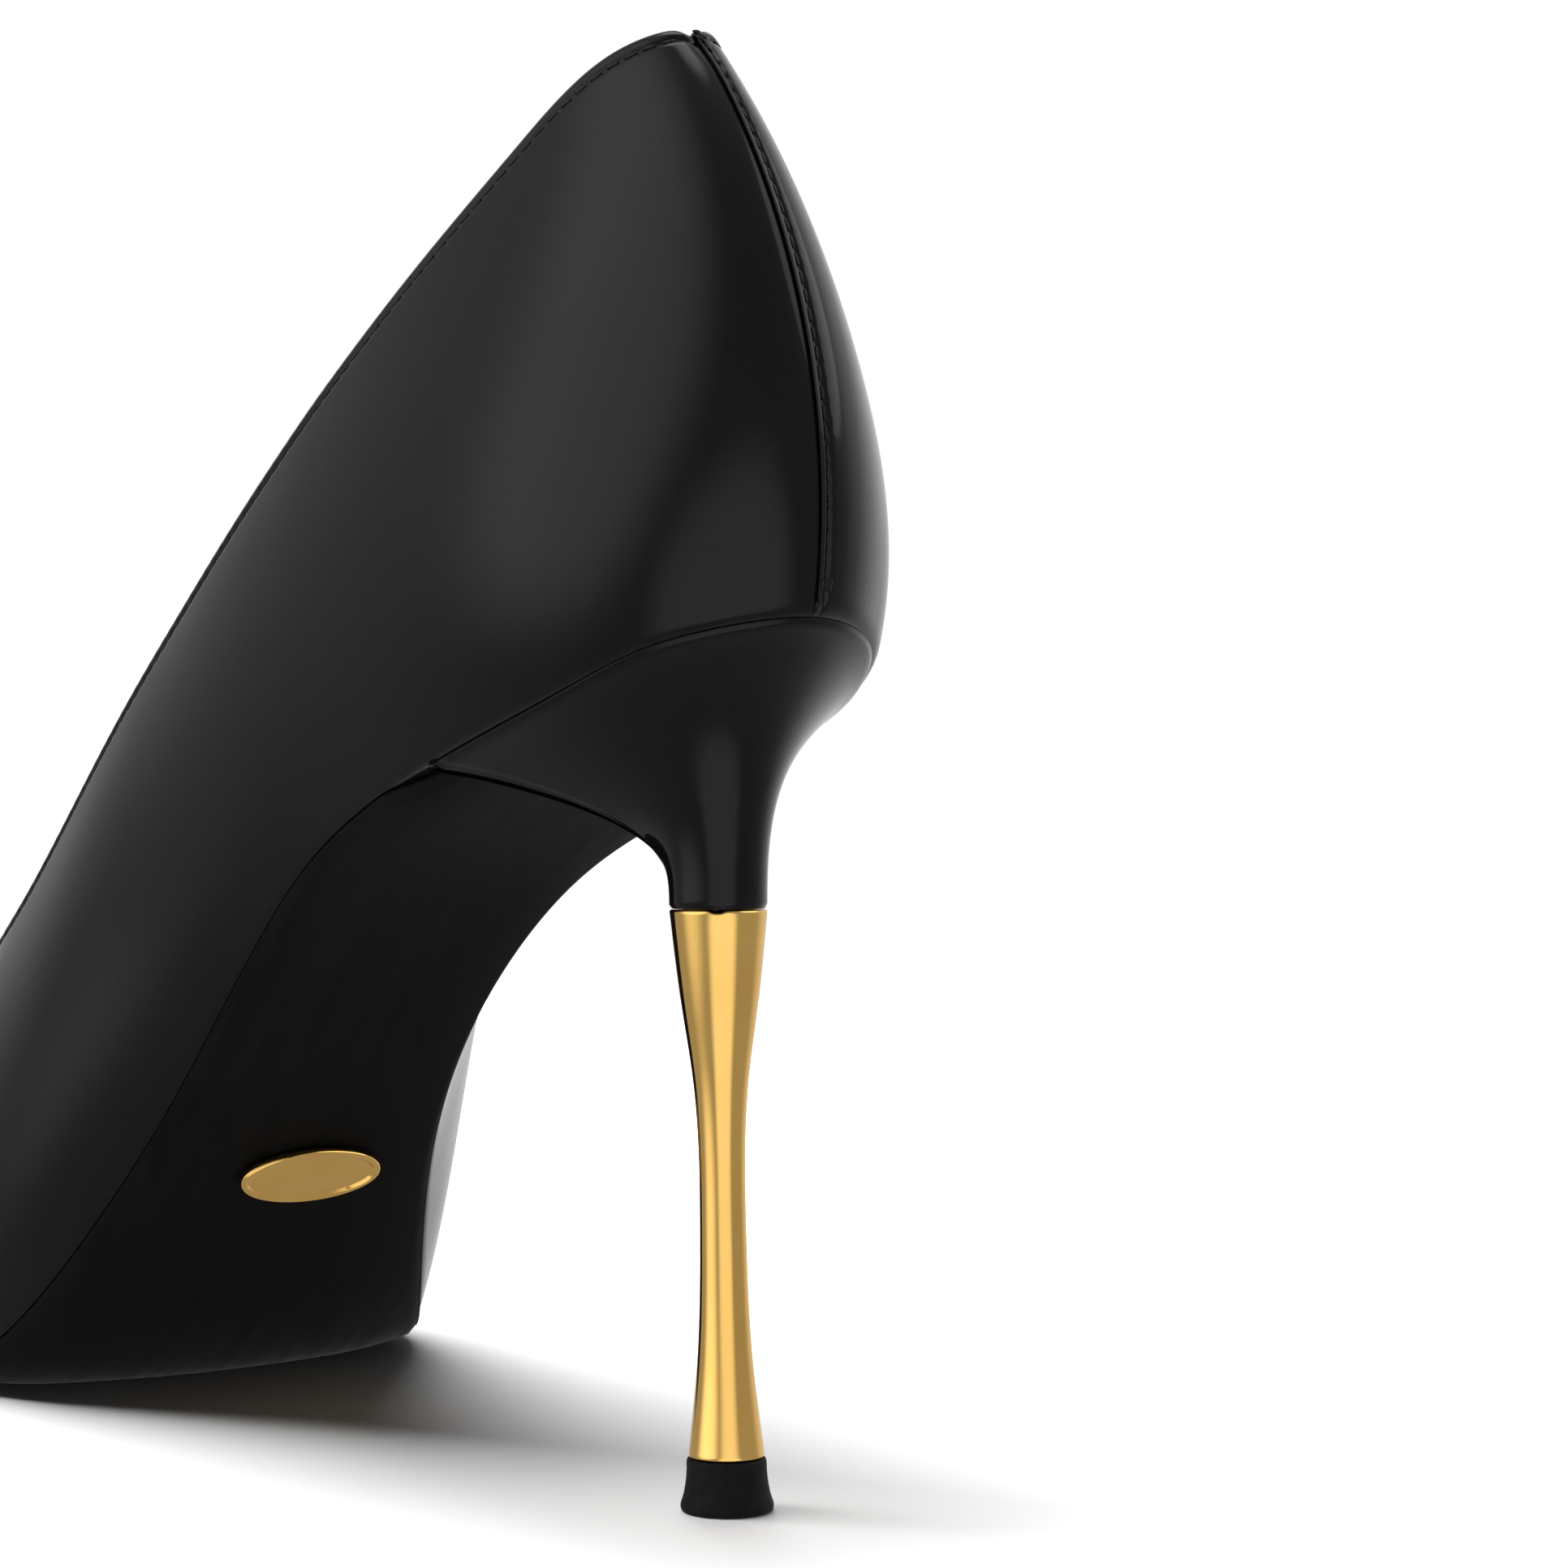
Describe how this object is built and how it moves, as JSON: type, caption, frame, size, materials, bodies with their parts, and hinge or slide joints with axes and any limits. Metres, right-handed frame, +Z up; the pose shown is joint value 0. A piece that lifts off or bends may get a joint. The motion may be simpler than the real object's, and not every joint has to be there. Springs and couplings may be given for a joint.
{
  "type": "high heel pump",
  "caption": "Closed pointed pump with a slim high stiletto heel, black patent upper and polished gold lower heel.",
  "frame": {"origin": "on the floor under the middle of the shoe's bounding box", "axes": "+X from the heel towards the toe, +Y towards the outer side of a left foot, +Z up from the floor"},
  "size_m": [0.2428, 0.0804, 0.1689],
  "materials": {
    "patent_black": "mirror-gloss black patent coating over leather",
    "tan_leather": "smooth aniline tan, satin",
    "grip_suede": "brushed flesh side, matt",
    "stiffener_board": "fibreboard, matt",
    "puff_sheet": "thermoplastic sheet, matt",
    "cotton_tape": "woven tape",
    "latex_foam": "open foam, matt",
    "insole_fibreboard": "pressed cellulose, matt",
    "spring_steel": "blued spring steel, ground edges",
    "cork_sheet": "cork composition, matt",
    "sole_black": "black sole leather, smooth satin finish",
    "heel_core": "moulded plastic",
    "gold_plate": "mirror-polished gold plating",
    "steel_fastener": "drawn steel",
    "lift_rubber": "moulded matt rubber"
  },
  "bodies": {
    "root": {"upper": "patent_black", "quarter_lining": "tan_leather", "vamp_lining": "tan_leather", "heel_grip": "grip_suede", "heel_counter": "stiffener_board", "toe_puff": "puff_sheet", "topline_tape": "cotton_tape", "insock": "tan_leather", "heel_pad": "latex_foam", "ball_pad": "latex_foam", "insole_board": "insole_fibreboard", "steel_shank": "spring_steel", "bottom_filler": "cork_sheet", "outsole": "sole_black", "heel_block": "heel_core", "heel_cover": "patent_black", "heel_sleeve": "gold_plate", "heel_rod": "steel_fastener", "top_lift": "lift_rubber", "top_lift_pin": "steel_fastener", "heel_screw": "steel_fastener", "sole_badge": "gold_plate", "shank_rivet_rear": "steel_fastener", "shank_rivet_front": "steel_fastener", "heel_nail_1": "steel_fastener", "heel_nail_2": "steel_fastener", "heel_nail_3": "steel_fastener", "heel_nail_4": "steel_fastener", "heel_nail_5": "steel_fastener"}
  },
  "joints": []
}
